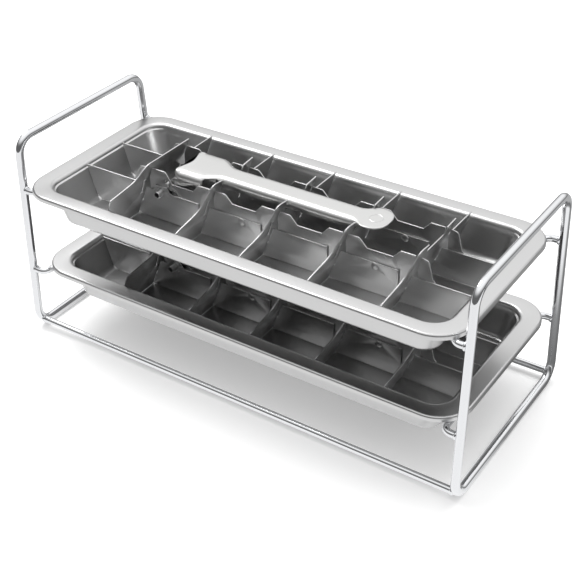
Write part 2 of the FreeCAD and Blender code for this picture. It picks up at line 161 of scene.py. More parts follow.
def grid_faces(rows: int, columns: int, wrap_rows: bool, wrap_columns: bool) -> Array:
    """Quads of a grid of points, numbered row by row.

    Args:
        rows: number of rows of points.
        columns: number of points in a row.
        wrap_rows: whether the last row joins the first.
        wrap_columns: whether each row is a closed ring.

    Returns:
        One row of four vertex numbers for each quad.
    """
    row = np.arange(rows if wrap_rows else rows - 1)[:, None]
    column = np.arange(columns if wrap_columns else columns - 1)[None, :]
    next_row = (row + 1) % rows
    next_column = (column + 1) % columns
    quads = [row * columns + column, row * columns + next_column]
    quads += [next_row * columns + next_column, next_row * columns + column]
    return np.stack([quad + 0 * row + 0 * column for quad in quads], axis=-1).reshape(-1, 4)


def join(parts: Sequence[tuple[Array, Any]]) -> Mesh:
    """Makes one mesh of several.

    Args:
        parts: points and faces of each mesh.

    Returns:
        All points, and all faces with their vertices renumbered.
    """
    points = []
    faces: list[list[int]] = []
    first = 0
    for part_points, part_faces in parts:
        points.append(np.asarray(part_points, float))
        faces += [[int(number) + first for number in face] for face in part_faces]
        first += len(part_points)
    return np.concatenate(points), faces


def bent_path(corners: Sequence[Sequence[float]], bend: float, closed: bool) -> Array:
    """Points along straight runs joined by arcs tangent to both.

    Each arc's centre lies on the bisector of its corner, at the bend radius from both runs.

    Args:
        corners: the corner points in millimetres.
        bend: radius of each arc.
        closed: whether the last run returns to the first corner.

    Returns:
        The path's points, one row each.
    """
    points = np.array(corners, float)
    count = len(points)
    path = [] if closed else [points[:1]]
    for index in range(count) if closed else range(1, count - 1):
        here = points[index]
        back = points[index - 1] - here
        ahead = points[(index + 1) % count] - here
        back /= np.linalg.norm(back)
        ahead /= np.linalg.norm(ahead)
        half = math.acos(float(np.clip(back @ ahead, -1.0, 1.0))) / 2.0
        middle = (back + ahead) / np.linalg.norm(back + ahead)
        centre = here + middle * bend / math.sin(half)
        turn = math.pi / 2.0 - half
        sweep = np.linspace(-turn, turn, BEND_POINTS)[:, None]
        aside = (ahead - back) / np.linalg.norm(ahead - back)
        path.append(centre - bend * (np.cos(sweep) * middle - np.sin(sweep) * aside))
    if not closed:
        path.append(points[-1:])
    return np.concatenate(path)


def tube(
    path: Array, radius: float, normal: Sequence[float], closed: bool, sides: int = 28
) -> tuple[Array, Array]:
    """A round tube along a path that lies in one plane.

    Each ring is the circle spanned by the plane's normal and the normal crossed with the tangent. An
    open tube's last rings shrink to points on its axis.

    Args:
        path: points along the tube's centre.
        radius: radius of the wire.
        normal: normal of the path's plane.
        closed: whether the path is a loop.
        sides: points in a ring.

    Returns:
        The tube's points and its quads.
    """
    tangent = np.gradient(path, axis=0)
    if closed:
        tangent = np.roll(path, -1, axis=0) - np.roll(path, 1, axis=0)
    tangent /= np.linalg.norm(tangent, axis=1, keepdims=True)
    up = np.broadcast_to(np.array(normal, float), path.shape)
    side = np.cross(up, tangent)
    radii = np.full(len(path), radius)
    if not closed:
        path, up, side = (np.concatenate([rows[:1], rows, rows[-1:]]) for rows in (path, up, side))
        radii = np.concatenate([[0.0], radii, [0.0]])
    angle = np.linspace(0.0, TAU, sides, endpoint=False)[None, :, None]
    spokes = np.cos(angle) * side[:, None, :] + np.sin(angle) * up[:, None, :]
    rings = path[:, None, :] + radii[:, None, None] * spokes
    return rings.reshape(-1, 3), grid_faces(len(path), sides, closed, True)


def turned(profile: Section, centre: tuple[float, float], closed: bool, sides: int = 40) -> Mesh:
    """A body turned about a line along Y.

    Each profile point (radius, y) sweeps the circle centre + radius (cos a, sin a) in the XZ plane.

    Args:
        profile: the half section, from one pole to the other or round a closed wall.
        centre: the line's (x, z).
        closed: whether the profile is a closed wall.
        sides: points in a ring.

    Returns:
        Points and quads.
    """
    radius, y = np.array(profile, float).T
    angle = np.linspace(0.0, TAU, sides, endpoint=False)
    x = centre[0] + radius[:, None] * np.cos(angle)
    z = centre[1] + radius[:, None] * np.sin(angle)
    points = np.stack([x, np.broadcast_to(y[:, None], x.shape), z], axis=-1).reshape(-1, 3)
    return points, grid_faces(len(radius), sides, closed, True).tolist()


def blob(centre: Sequence[float], radii: Sequence[float], around: int = 24, along: int = 13) -> Mesh:
    """An ellipsoid, for a weld: centre + radii (sin p cos t, sin p sin t, cos p).

    Args:
        centre: its middle.
        radii: its half sizes along X, Y and Z.
        around: points in a ring.
        along: rings from pole to pole.

    Returns:
        Points and quads.
    """
    polar = np.linspace(0.0, math.pi, along)[:, None]
    turn = np.linspace(0.0, TAU, around, endpoint=False)[None, :]
    x = np.sin(polar) * np.cos(turn)
    y = np.sin(polar) * np.sin(turn)
    unit = np.stack([x, y, np.cos(polar) + 0 * turn], axis=-1)
    points = np.array(centre) + unit * np.array(radii)
    return points.reshape(-1, 3), grid_faces(along, around, False, True).tolist()


# Sheared sheet


@dataclass
class CutSheet:
    """A flat sheet with sheared, slightly rounded edges, cut to the outline of a flat CAD node.

    Attributes:
        node: name of the flat CAD node.
        edge: radius of the worn edge.
        steps: faces across one rounded edge.
        cells_per_mm: points in the same cell of a grid this fine count as one point.
        same_way: cosine over which two normals point the same way.
    """

    node: str
    edge: float = 0.24
    steps: int = 3
    cells_per_mm: float = 500.0
    same_way: float = 0.999

    def triangles(self) -> tuple[Array, Array]:
        """Reads the node's points, with doubles taken as one, and its triangles.

        Returns:
            Points in millimetres, and one row of three vertex numbers for each triangle.
        """
        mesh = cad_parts[self.node].data
        mesh.calc_loop_triangles()
        points = np.empty(len(mesh.vertices) * 3, np.float32)
        mesh.vertices.foreach_get("co", points)
        points = points.reshape(-1, 3).astype(float) / MM
        corners = np.empty(len(mesh.loop_triangles) * 3, np.int32)
        mesh.loop_triangles.foreach_get("vertices", corners)
        cells = np.round(points * self.cells_per_mm)
        _, first, same = np.unique(cells, axis=0, return_index=True, return_inverse=True)
        return points[first], same.reshape(-1)[corners].reshape(-1, 3)

    def outline(self) -> tuple[list[Array], Array, Array]:
        """Finds the node's outline.

        The face that holds most of the node's area gives the sheet's plane. The edges that only one of
        its triangles uses are the outline; followed in order they give one loop round the outside and
        one round each hole, with the metal on their left.

        Returns:
            The loops in the plane, the plane's axes as rows (across, up, out), and the (low, high)
            distances of the two faces along the last axis.
        """
        points, triangles = self.triangles()
        a, b, c = (points[triangles[:, column]] for column in range(3))
        normal = np.cross(b - a, c - a)
        area = np.linalg.norm(normal, axis=1)
        normal /= np.maximum(area, 1e-9)[:, None]
        kinds, kind = np.unique(np.round(normal, 2), axis=0, return_inverse=True)
        out = kinds[np.argmax(np.bincount(kind.reshape(-1), area))]
        out = normal[np.argmax((normal @ out) * area)]
        up = np.array([0.0, 0.0, 1.0]) - out[2] * out
        up /= np.linalg.norm(up)
        axes = np.array([np.cross(up, out), up, out])
        depth = points @ out
        face = triangles[normal @ out > self.same_way]
        edges = np.concatenate([face[:, [0, 1]], face[:, [1, 2]], face[:, [2, 0]]])
        codes = edges[:, 0] * len(points) + edges[:, 1]
        lone = edges[~np.isin(codes, edges[:, 1] * len(points) + edges[:, 0])]
        after = dict(lone.tolist())
        loops = []
        while after:
            start, here = after.popitem()
            ring = [start]
            while here != start:
                ring.append(here)
                here = after.pop(here)
            loops.append(self.without_straights(points[ring] @ axes[:2].T))
        loops.sort(key=lambda loop: -np.ptp(loop[:, 0]))
        return loops, axes, np.array([depth.min(), depth.max()])

    @staticmethod
    def without_straights(loop: Array) -> Array:
        """Leaves out the points that lie on a straight run between their neighbours.

        Args:
            loop: points of a closed outline.

        Returns:
            The points at which the outline turns by more than a thousandth of a radian.
        """
        back = loop - np.roll(loop, 1, axis=0)
        ahead = np.roll(loop, -1, axis=0) - loop
        turn = back[:, 0] * ahead[:, 1] - back[:, 1] * ahead[:, 0]
        keep = np.abs(turn) > 1e-3 * np.linalg.norm(back, axis=1) * np.linalg.norm(ahead, axis=1)
        return loop[keep]

    def shape(self) -> tuple[Mesh, Array]:
        """The node's sheet with rounded edges, and whether each of its faces is flat."""
        return bevelled(*self.outline(), self.edge, self.steps)


def bevelled(loops: list[Array], axes: Array, reach: Array, edge: float, steps: int) -> tuple[Mesh, Array]:
    """A flat sheet with rounded edges.

    Each ring of the edge is the outline moved into the metal by edge (1 - cos a), at a depth of
    edge (1 - sin a) from its face, for a from 0 to a right angle. A point moves along the sum of its
    two edges' normals over one plus their product, which keeps both edges the same distance in.

    Args:
        loops: the outlines in the plane, with the metal on their left.
        axes: rows across, up and out of the plane.
        reach: the (low, high) distances of the two faces along the last axis.
        edge: radius of the rounded edge.
        steps: faces across one rounded edge.

    Returns:
        Points and faces, and whether each face is flat.
    """
    sharpest = 0.3
    bend = arc(0.0, 90.0, steps + 1)
    moved = edge * (1 - np.cos(bend))
    sunk = edge * (1 - np.sin(bend))
    inset = np.concatenate([moved[::-1], moved])
    level = np.concatenate([reach[1] - sunk[::-1], reach[0] + sunk])
    parts: list[tuple[Array, Any]] = []
    caps: list[list[Array]] = [[], []]
    numbers: list[Array] = []
    first = 0
    for loop in loops:
        ahead = np.roll(loop, -1, axis=0) - loop
        ahead /= np.linalg.norm(ahead, axis=1, keepdims=True)
        left = np.stack([-ahead[:, 1], ahead[:, 0]], axis=-1)
        before = np.roll(left, 1, axis=0)
        share = 1.0 + np.sum(left * before, axis=1, keepdims=True)
        rings = loop[None] + (left + before)[None] / np.maximum(share, sharpest)[None] * inset[:, None, None]
        points = rings @ axes[:2] + level[:, None, None] * axes[2]
        count = len(loop)
        parts.append((points.reshape(-1, 3), grid_faces(len(inset), count, False, True)))
        caps[0].append(rings[0])
        caps[1].append(rings[-1])
        numbers.append(np.arange(count) + first + np.array([[0], [count * (len(inset) - 1)]]))
        first += count * len(inset)
    points, faces = join(parts)
    sides = len(faces)
    for side in (0, 1):
        lookup = np.concatenate([pair[side] for pair in numbers])
        flat_loops = [[(x, y, 0.0) for x, y in ring] for ring in caps[side]]
        triangles = tessellate_polygon(flat_loops)
        faces += [[int(lookup[corner]) for corner in triangle] for triangle in triangles]
    return (points, faces), np.arange(len(faces)) >= sides


# Materials


def linear(hex_colour: str) -> tuple[float, float, float, float]:
    """Turns an sRGB hex value such as "c8c9ca" to a linear colour.

    The sRGB curve is c / 12.92 up to 0.04045, and ((c + 0.055) / 1.055) to the power 2.4 above it.

    Args:
        hex_colour: six hex digits.

    Returns:
        Red, green, blue and an alpha of 1.
    """
    parts = [int(hex_colour[start:start + 2], 16) / 255.0 for start in (0, 2, 4)]
    light = [part / 12.92 if part <= 0.04045 else ((part + 0.055) / 1.055) ** 2.4 for part in parts]
    return (light[0], light[1], light[2], 1.0)


def column_matrix(right: Array, up: Array, back: Array, place: Array) -> Matrix:
    """A matrix whose columns are three directions and a place.

    Args:
        right: the object's own X.
        up: its Y.
        back: its Z.
        place: where it stands, in metres.

    Returns:
        The matrix.
    """
    matrix = np.eye(4)
    matrix[:3] = np.column_stack([right, up, back, place])
    return Matrix(matrix.tolist())


def emptied_tree(owner: bpy.types.Material | bpy.types.World) -> bpy.types.NodeTree:
    """Turns on the nodes of a material or the world, and takes out those that it starts with.

    Args:
        owner: the material or world.

    Returns:
        Its empty node tree.
    """
    owner.use_nodes = True
    owner.node_tree.nodes.clear()
    return owner.node_tree


def add_node(
    tree: bpy.types.NodeTree, kind: str, inputs: dict[Any, Any] | None = None, **settings: Any
) -> bpy.types.Node:
    """Adds a node with its settings and links.

    Args:
        tree: the node tree.
        kind: the node's type name.
        inputs: values or output sockets, by the input's name or number.
        settings: the node's own properties.

    Returns:
        The new node.
    """
    node = tree.nodes.new(kind)
    for name, value in settings.items():
        setattr(node, name, value)
    for key, value in (inputs or {}).items():
        socket = node.inputs[key]
        if isinstance(value, bpy.types.NodeSocket):
            tree.links.new(value, socket)
        else:
            socket.default_value = value
    return node


def colour_ramp(
    tree: bpy.types.NodeTree, share: bpy.types.NodeSocket, stops: Sequence[tuple[float, str]]
) -> bpy.types.NodeSocket:
    """A ramp of sRGB hex colours over a share from 0 to 1.

    Args:
        tree: the node tree.
        share: the socket that the ramp reads.
        stops: the position and hex colour of each stop, in order.

    Returns:
        The ramp's colour.
    """
    ramp = add_node(tree, "ShaderNodeValToRGB", {"Fac": share})
    elements = ramp.color_ramp.elements
    for index, (position, colour) in enumerate(stops):
        element = elements[index] if index < 2 else elements.new(position)
        element.position = position
        element.color = linear(colour)
    return ramp.outputs["Color"]


@dataclass(frozen=True)
class SteelFinish:
    """A bare steel finish, from its mill grain and its polish.

    The real marks are a few hundredths of a millimetre wide, too fine for the render, so each grain is
    drawn as coarse as it needs to show.

    Attributes:
        name: the material's name.
        colour: sRGB hex of the metal's reflection.
        roughness: mean roughness of the surface.
        variation: how far the roughness wanders from place to place.
        grain_length: length of a rolling mark in millimetres.
        grain_width: width of a rolling mark in millimetres.
        grain_depth: bump strength of the rolling marks.
        wave_size: spacing in millimetres of the sheet's gentle waves.
        wave_depth: bump strength of those waves.
    """

    name: str
    colour: str
    roughness: float
    variation: float
    grain_length: float
    grain_width: float
    grain_depth: float
    wave_size: float
    wave_depth: float

    def material(self) -> bpy.types.Material:
        """Builds the material: grain and waves on object coordinates, over a plain metal shader.

        The grain is noise stretched along X and the waves are wide noise. The same wide noise moves the
        roughness from its least to its greatest value over the span in which most of the noise lies.

        Returns:
            The material.
        """
        noise_low, noise_high = 0.3, 0.7
        wave_height, grain_height = 2.0 * MM, 0.2 * MM
        material = bpy.data.materials.new(self.name)
        tree = emptied_tree(material)
        place = add_node(tree, "ShaderNodeTexCoord").outputs["Object"]
        across = 1.0 / (self.grain_width * MM)
        along = 1.0 / (self.grain_length * MM)
        stretched = add_node(
            tree, "ShaderNodeMapping", {"Vector": place, "Scale": (along, across, across)}
        ).outputs["Vector"]
        grain = add_node(
            tree, "ShaderNodeTexNoise", {"Vector": stretched, "Scale": 1.0, "Detail": 3.0, "Roughness": 0.6}
        ).outputs["Fac"]
        wide = add_node(
            tree,
            "ShaderNodeTexNoise",
            {"Vector": place, "Scale": 1.0 / (self.wave_size * MM), "Detail": 2.0, "Roughness": 0.5},
        ).outputs["Fac"]
        rough = add_node(
            tree,
            "ShaderNodeMapRange",
            {
                "Value": wide,
                "From Min": noise_low,
                "From Max": noise_high,
                "To Min": self.roughness - self.variation,
                "To Max": self.roughness + self.variation,
            },
        ).outputs["Result"]
        waves = add_node(
            tree, "ShaderNodeBump", {"Strength": self.wave_depth, "Distance": wave_height, "Height": wide}
        ).outputs["Normal"]
        marks = add_node(
            tree,
            "ShaderNodeBump",
            {"Strength": self.grain_depth, "Distance": grain_height, "Height": grain, "Normal": waves},
        ).outputs["Normal"]
        shader = add_node(
            tree,
            "ShaderNodeBsdfPrincipled",
            {"Base Color": linear(self.colour), "Metallic": 1.0, "Roughness": rough, "Normal": marks},
        )
        add_node(tree, "ShaderNodeOutputMaterial", {"Surface": shader.outputs["BSDF"]})
        return material


# Bright nickel-chrome plating on drawn wire: a near mirror, faintly cool, with hardly any grain.
CHROME = SteelFinish(
    name="bright_chrome_wire", colour="e6e7e9", roughness=0.07, variation=0.02,
    grain_length=20.0, grain_width=1.0, grain_depth=0.01, wave_size=25.0, wave_depth=0.0,
)
# 18/8 stainless sheet, deep drawn, then satin finished: soft wide reflections with fine long marks.
SATIN_PAN = SteelFinish(
    name="satin_stainless_pan", colour="d0d0d0", roughness=0.31, variation=0.03,
    grain_length=45.0, grain_width=0.5, grain_depth=0.03, wave_size=45.0, wave_depth=0.02,
)
# Cold rolled stainless strip with its mill finish: flatter than the drawn pan, dull grey and even.
ROLLED = SteelFinish(
    name="rolled_stainless_divider", colour="cecece", roughness=0.33, variation=0.03,
    grain_length=45.0, grain_width=0.6, grain_depth=0.015, wave_size=60.0, wave_depth=0.01,
)
# Stamped stainless lever, tumbled after stamping: a fine even satin with bright rounded edges.
TUMBLED = SteelFinish(
    name="tumbled_stainless_lever", colour="d8d8d7", roughness=0.3, variation=0.03,
    grain_length=8.0, grain_width=0.8, grain_depth=0.015, wave_size=40.0, wave_depth=0.01,
)


# Rack


@dataclass
class Rack:
    """The wire rack: two end frames, two base wires and four tray supports.

    Attributes:
        frame_wire: radius of the end frames' wire.
        thin_wire: radius of the other wires.
        bend: radius of an end frame's corners.
        top_half: half the width of a frame at its top wire's centre.
        bottom_half: half the width at its bottom wire's centre.
        foot_flat: how much of the bottom wire's underside is flattened.
        base_y: distance of the base wires from the middle.
        base_z: height of the base wires' centres.
        base_share: how far a base wire stops short of a frame's middle, in radii of the frame's wire.
        base_weld: half sizes of the weld at a base wire's end.
        base_weld_back: how far that weld's middle lies inside the wire's end.
        support_x: distance of the supports' long runs from the middle.
        support_bend: radius of the supports' corners.
        support_drop: how far the supports lie under a rim's top.
        support_sink: how far a support's end is let into its upright.
        support_weld: half sizes of the weld at a support's end.
        support_weld_sink: how far that weld's middle is let into the upright.
        finish: the wire's finish.
    """

    frame_wire: float = 2.5
    thin_wire: float = 2.0
    bend: float = 10.0
    top_half: float = 53.0
    bottom_half: float = 60.48
    foot_flat: float = 0.12
    base_y: float = 57.9
    base_z: float = 5.2
    base_share: float = 0.6
    base_weld: tuple[float, float, float] = (1.6, 2.5, 2.5)
    base_weld_back: float = 0.7
    support_x: float = 134.0
    support_bend: float = 5.0
    support_drop: float = 5.2
    support_sink: float = 0.4
    support_weld: tuple[float, float, float] = (1.3, 2.5, 2.6)
    support_weld_sink: float = 0.1
    finish: SteelFinish = CHROME

    def __post_init__(self) -> None:
        """Reads from the CAD frame where the end frames stand and how high they are."""
        low, high = node_box("right_end_frame")
        self.frame_x = float(low[0] + high[0]) / 2.0
        self.low = self.frame_wire - self.foot_flat
        self.high = float(high[2]) - self.frame_wire

    def half_width(self, z: float) -> float:
        """Half the distance between the uprights at a height: a straight line from foot to top."""
        share = (z - self.low) / (self.high - self.low)
        return self.bottom_half + (self.top_half - self.bottom_half) * share

    def end_frame(self, side: int) -> tuple[Array, Any]:
        """A closed loop of wire, flattened a little where it stands.

        Args:
            side: -1 for the left frame, 1 for the right one.

        Returns:
            Points and quads.
        """
        x = side * self.frame_x
        corners = [(x, -self.bottom_half, self.low), (x, self.bottom_half, self.low)]
        corners += [(x, self.top_half, self.high), (x, -self.top_half, self.high)]
        points, faces = tube(bent_path(corners, self.bend, True), self.frame_wire, (1, 0, 0), True)
        points[:, 2] = np.maximum(points[:, 2], 0.0)
        return points, faces

    def support(self, side: int, rim_top: float) -> Mesh:
        """A bent wire from one upright round to the other, with a weld at each end.

        Args:
            side: -1 for the left end of the rack, 1 for the right end.
            rim_top: height of the top of the rim that rests on it.

        Returns:
            Points and faces.
        """
        z = rim_top - self.support_drop
        half = self.half_width(z)
        inner = side * self.support_x
        outer = side * (self.frame_x - self.frame_wire + self.support_sink)
        corners = [(outer, -half, z), (inner, -half, z), (inner, half, z), (outer, half, z)]
        run = tube(bent_path(corners, self.support_bend, False), self.thin_wire, (0, 0, side), False)
        place = side * (self.frame_x - self.frame_wire + self.support_weld_sink)
        welds = [blob((place, flip * half, z), self.support_weld) for flip in (-1, 1)]
        return join([run] + welds)

    def base_wire(self, side: int) -> Mesh:
        """A straight wire along the foot, with a weld at each end.

        Args:
            side: -1 for the front wire, 1 for the rear one.

        Returns:
            Points and faces.
        """
        points_along = 40
        y = side * self.base_y
        reach = self.frame_x - self.frame_wire * self.base_share
        path = np.linspace((-reach, y, self.base_z), (reach, y, self.base_z), points_along)
        run = tube(path, self.thin_wire, (0, 0, 1), False)
        weld_x = reach - self.base_weld_back
        welds = [blob((flip * weld_x, y, self.base_z), self.base_weld) for flip in (-1, 1)]
        return join([run] + welds)

    def build(self) -> None:
        """Builds and dresses every wire."""
        steel = self.finish.material()
        made = {}
        for side, name in ((-1, "left"), (1, "right")):
            made[name + "_end_frame"] = self.end_frame(side)
            for tier in Tier:
                made[tier.node(name + "_support")] = self.support(side, tray_place(tier)[2])
        for side, name in ((-1, "front"), (1, "rear")):
            made[name + "_base_wire"] = self.base_wire(side)
        for node, shape in made.items():
            carry(make_object(node + "_wire", shape, steel), "rack", node)


# Pan


@dataclass
class Pan:
    """A pressed pan: flat rim with a turned-down skirt, rounded mouth, tapering walls, round bottom edge.

    Attributes:
        rim: half length, half width and corner radius of the rim.
        mouth: the same of the mouth.
        floor: the same of the floor.
        depth: depth of the floor under the rim's top.
        sheet: thickness of the metal.
        skirt: how far the skirt's edge lies under the rim's top.
        rim_round: radius between the rim and its skirt.
        mouth_round: radius between the rim and the wall.
        fillet: radius between the wall and the floor.
        least_corner: least corner radius of any ring.
        skirt_lead: height of the skirt's last strip under the rim's round.
        wall_lead: height of the wall's strips next to its rounds.
        corner_points: points in a quarter circle of a ring.
        side_points: points along a straight side of a ring, with its two ends.
        round_points: rings over each round of the section.
        wall_points: rings over the wall between its rounds.
        finish: the sheet's finish.
    """

    rim: tuple[float, float, float] = (140.0, 60.0, 20.0)
    mouth: tuple[float, float, float] = (128.0, 49.0, 11.0)
    floor: tuple[float, float, float] = (121.5, 46.0, 9.0)
    depth: float = 22.3
    sheet: float = 0.7
    skirt: float = 3.0
    rim_round: float = 1.5
    mouth_round: float = 2.6
    fillet: float = 2.5
    least_corner: float = 0.5
    skirt_lead: float = 0.4
    wall_lead: float = 0.6
    corner_points: int = 20
    side_points: int = 12
    round_points: int = 9
    wall_points: int = 6
    finish: SteelFinish = SATIN_PAN

    def ring(self, half_x: Array, half_y: Array, corner: Array, z: Array) -> Array:
        """Rounded rectangles, one for each row of sizes.

        Each ring is four quarter circles; the straight sides are filled in with evenly spaced points.

        Args:
            half_x: half the length of each ring.
            half_y: half the width of each ring.
            corner: corner radius of each ring.
            z: height of each ring.

        Returns:
            Points by ring, place in the ring and axis.
        """
        quarter = np.linspace(0.0, math.pi / 2.0, self.corner_points)
        runs = []
        for turn, (flip_x, flip_y) in enumerate(((1, 1), (-1, 1), (-1, -1), (1, -1))):
            bearing = quarter + turn * math.pi / 2.0
            x = flip_x * (half_x - corner)[:, None] + corner[:, None] * np.cos(bearing)
            y = flip_y * (half_y - corner)[:, None] + corner[:, None] * np.sin(bearing)
            runs.append(np.stack([x, y, np.broadcast_to(z[:, None], x.shape)], axis=-1))
        share = np.linspace(0.0, 1.0, self.side_points)[1:-1][None, :, None]
        filled = []
        for index, run in enumerate(runs):
            after = runs[(index + 1) % 4]
            filled += [run, run[:, -1:] * (1 - share) + after[:, :1] * share]
        return np.concatenate(filled, axis=1)

    def skin(self, inward: float) -> list[tuple[float, float, float]]:
        """One side of the sheet, from the skirt's edge to the floor.

        The side lies inward of the upper one: each arc keeps its centre and changes its radius by the
        same amount.

        Args:
            inward: 0 for the upper side, or the sheet's thickness for the underside.

        Returns:
            Rows of (share of the wall, outward offset, height). Share 0 is the mouth's outline, 1 the
            floor's and -1 the rim's outer edge.
        """
        bend = np.linspace(0.0, math.pi / 2.0, self.round_points)
        outer = self.rim_round - inward
        mouth = self.mouth_round - inward
        bottom = self.fillet + inward
        start = self.depth - self.fillet
        side = [(-1.0, -inward, -self.skirt), (-1.0, -inward, -self.rim_round - self.skirt_lead)]
        for a in bend:
            side.append((-1.0, outer * math.cos(a) - self.rim_round, outer * math.sin(a) - self.rim_round))
        for a in bend:
            across = self.mouth_round - mouth * math.sin(a)
            side.append((0.0, across, mouth * math.cos(a) - self.mouth_round))
        drops = np.linspace(self.mouth_round + self.wall_lead, start - self.wall_lead, self.wall_points)
        side += [(drop / self.depth, inward, -drop) for drop in drops]
        for a in bend:
            drop = start + bottom * math.sin(a)
            side.append((min(drop, self.depth) / self.depth, bottom * math.cos(a) - self.fillet, -drop))
        return side

    def sizes(self, profile: Array) -> tuple[Array, Array, Array, Array]:
        """Sizes of the ring at each profile point.

        Args:
            profile: rows from skin().

        Returns:
            Half length, half width, corner radius and height of each ring.
        """
        share, offset, height = profile.T
        table = np.array([self.rim, self.mouth, self.floor])
        sizes = [np.interp(share, [-1.0, 0.0, 1.0], table[:, column]) + offset for column in range(3)]
        return sizes[0], sizes[1], np.maximum(sizes[2], self.least_corner), height

    def shape(self, place: Array) -> Mesh:
        """The pan's closed skin: rings over the sheet's whole section, and a floor inside and out.

        Args:
            place: the middle of the rim, at its top.

        Returns:
            Points and faces.
        """
        upper = self.skin(0.0)
        under = self.skin(self.sheet)[::-1]
        rings = self.ring(*self.sizes(np.array(upper + under))) + place
        count = rings.shape[1]
        quads = grid_faces(len(rings), count, True, True)
        bottom = len(upper) - 1
        keep = quads[:, 0] // count != bottom
        inside_floor = np.arange(bottom * count, (bottom + 1) * count)
        outside_floor = inside_floor[::-1] + count
        faces = quads[keep].tolist() + [inside_floor.tolist(), outside_floor.tolist()]
        return rings.reshape(-1, 3), faces

    def build(self, tier: Tier, steel: bpy.types.Material) -> None:
        """Builds one tier's pan, of the steel given."""
        piece = make_object(tier.node("pan_shell"), self.shape(tray_place(tier)), steel)
        carry(piece, tier.node("tray"), tier.node("pan"))


# Divider


@dataclass
class Divider:
    """The lift-out divider: sheared plates and blades, a rolled tube, a link pin and round rivets.

    Attributes:
        tube_radius: outer radius of the tube.
        tube_wall: the tube's wall.
        pin_radius: radius of the link pin.
        pin_edge: radius of the link pin's rounded ends.
        rivet_x: places of the rivets from the tray's middle.
        rivet_z: height of the rivets from the rim's top.
        rivet_radius: radius of a rivet's head.
        rivet_high: how far a rivet's head stands out.
        rivet_through: distance between a rivet's two heads.
        rivet_neck: radius between the heads, as a share of the head's.
        rivet_sides: points in a rivet's rings.
        finish: the finish of every piece.
    """

    tube_radius: float = 2.2
    tube_wall: float = 0.6
    pin_radius: float = 1.5
    pin_edge: float = 0.3
    rivet_x: tuple[float, float] = (-14.0, 71.0)
    rivet_z: float = -5.2
    rivet_radius: float = 2.2
    rivet_high: float = 0.7
    rivet_through: float = 1.9
    rivet_neck: float = 0.55
    rivet_sides: int = 28
    finish: SteelFinish = ROLLED

    @staticmethod
    def body(tier: Tier, name: str) -> str:
        """Finds the body that one of the divider's nodes belongs to.

        Args:
            tier: the tray's tier.
            name: the node's name without its tier.

        Returns:
            The body's name.
        """
        if name.startswith("blade"):
            return tier.node(name)
        if "notched" in name:
            return tier.node("plates")
        if name == "link_pin":
            return tier.node("lever")
        return tier.node("grid" if tier is Tier.UPPER else "tray")

    def tube(self, low: Array, high: Array) -> Mesh:
        """A thin-walled tube along Y whose lips are half circles over the wall.

        Args:
            low: low corner of the CAD tube's box.
            high: high corner of that box.

        Returns:
            Points and quads.
        """
        middle = (low + high) / 2.0
        lip = self.tube_wall / 2.0
        wall = self.tube_radius - lip
        near, far = low[1] + lip, high[1] - lip
        front = [(wall + lip * math.cos(a), near - lip * math.sin(a)) for a in arc(0.0, 180.0, 9)]
        rear = [(wall + lip * math.cos(a), far - lip * math.sin(a)) for a in arc(180.0, 360.0, 9)]
        return turned(front + rear, (middle[0], middle[2]), True)

    def pin(self, low: Array, high: Array) -> Mesh:
        """A solid pin along Y whose ends have a quarter circle for an edge.

        Args:
            low: low corner of the CAD pin's box.
            high: high corner of that box.

        Returns:
            Points and quads.
        """
        middle = (low + high) / 2.0
        edge = self.pin_edge
        inner = self.pin_radius - edge
        near, far = low[1] + edge, high[1] - edge
        front = [(inner + edge * math.cos(a), near - edge * math.sin(a)) for a in arc(90.0, 0.0, 6)]
        rear = [(inner + edge * math.cos(a), far + edge * math.sin(a)) for a in arc(0.0, 90.0, 6)]
        profile = [(0.0, low[1])] + front + rear + [(0.0, high[1])]
        return turned(profile, (middle[0], middle[2]), False)

    def rivets(self, low: Array, high: Array, place: Array) -> Mesh:
        """Four rivets with domed heads: radius R cos a at a height H sin a over the plate.

        Args:
            low: low corner of the box of the four CAD rivets.
            high: high corner of that box.
            place: the middle of the tray's rim, at its top.

        Returns:
            Points and faces.
        """
        radius, high_by = self.rivet_radius, self.rivet_high
        dome = arc(90.0, 0.0, 8)
        neck_radius = radius * self.rivet_neck
        made = []
        for front in (low[1] + high_by, high[1] - high_by - self.rivet_through):
            back = front + self.rivet_through
            first = [(radius * math.cos(a), front - high_by * math.sin(a)) for a in dome]
            last = [(radius * math.cos(a), back + high_by * math.sin(a)) for a in dome[::-1]]
            profile = first + [(neck_radius, front), (neck_radius, back)] + last
            for x in self.rivet_x:
                middle = (place[0] + x, place[2] + self.rivet_z)
                made.append(turned(profile, middle, False, self.rivet_sides))
        return join(made)

    def build(self, tier: Tier, steel: bpy.types.Material) -> None:
        """Builds one tier's plates, blades, tube, pin and rivets.

        Args:
            tier: the tray's tier.
            steel: the material of every piece.
        """
        sheets = ["%s_%s_plate" % (row, kind) for row in ("front", "rear") for kind in ("fixed", "notched")]
        sheets += ["blade_%d" % number for number in range(1, 6)]
        for name in sheets:
            shape, flat = CutSheet(tier.node(name)).shape()
            piece = make_object(tier.node(name + "_sheet"), shape, steel, flat)
            carry(piece, self.body(tier, name), tier.node(name))
        round_parts = {
            "pivot_tube": self.tube(*node_box(tier.node("pivot_tube"))),
            "link_pin": self.pin(*node_box(tier.node("link_pin"))),
            "guide_rivets": self.rivets(*node_box(tier.node("guide_rivets")), tray_place(tier)),
        }
        for name, shape in round_parts.items():
            piece = make_object(tier.node(name + "_turned"), shape, steel)
            carry(piece, self.body(tier, name), tier.node(name))


# Lever


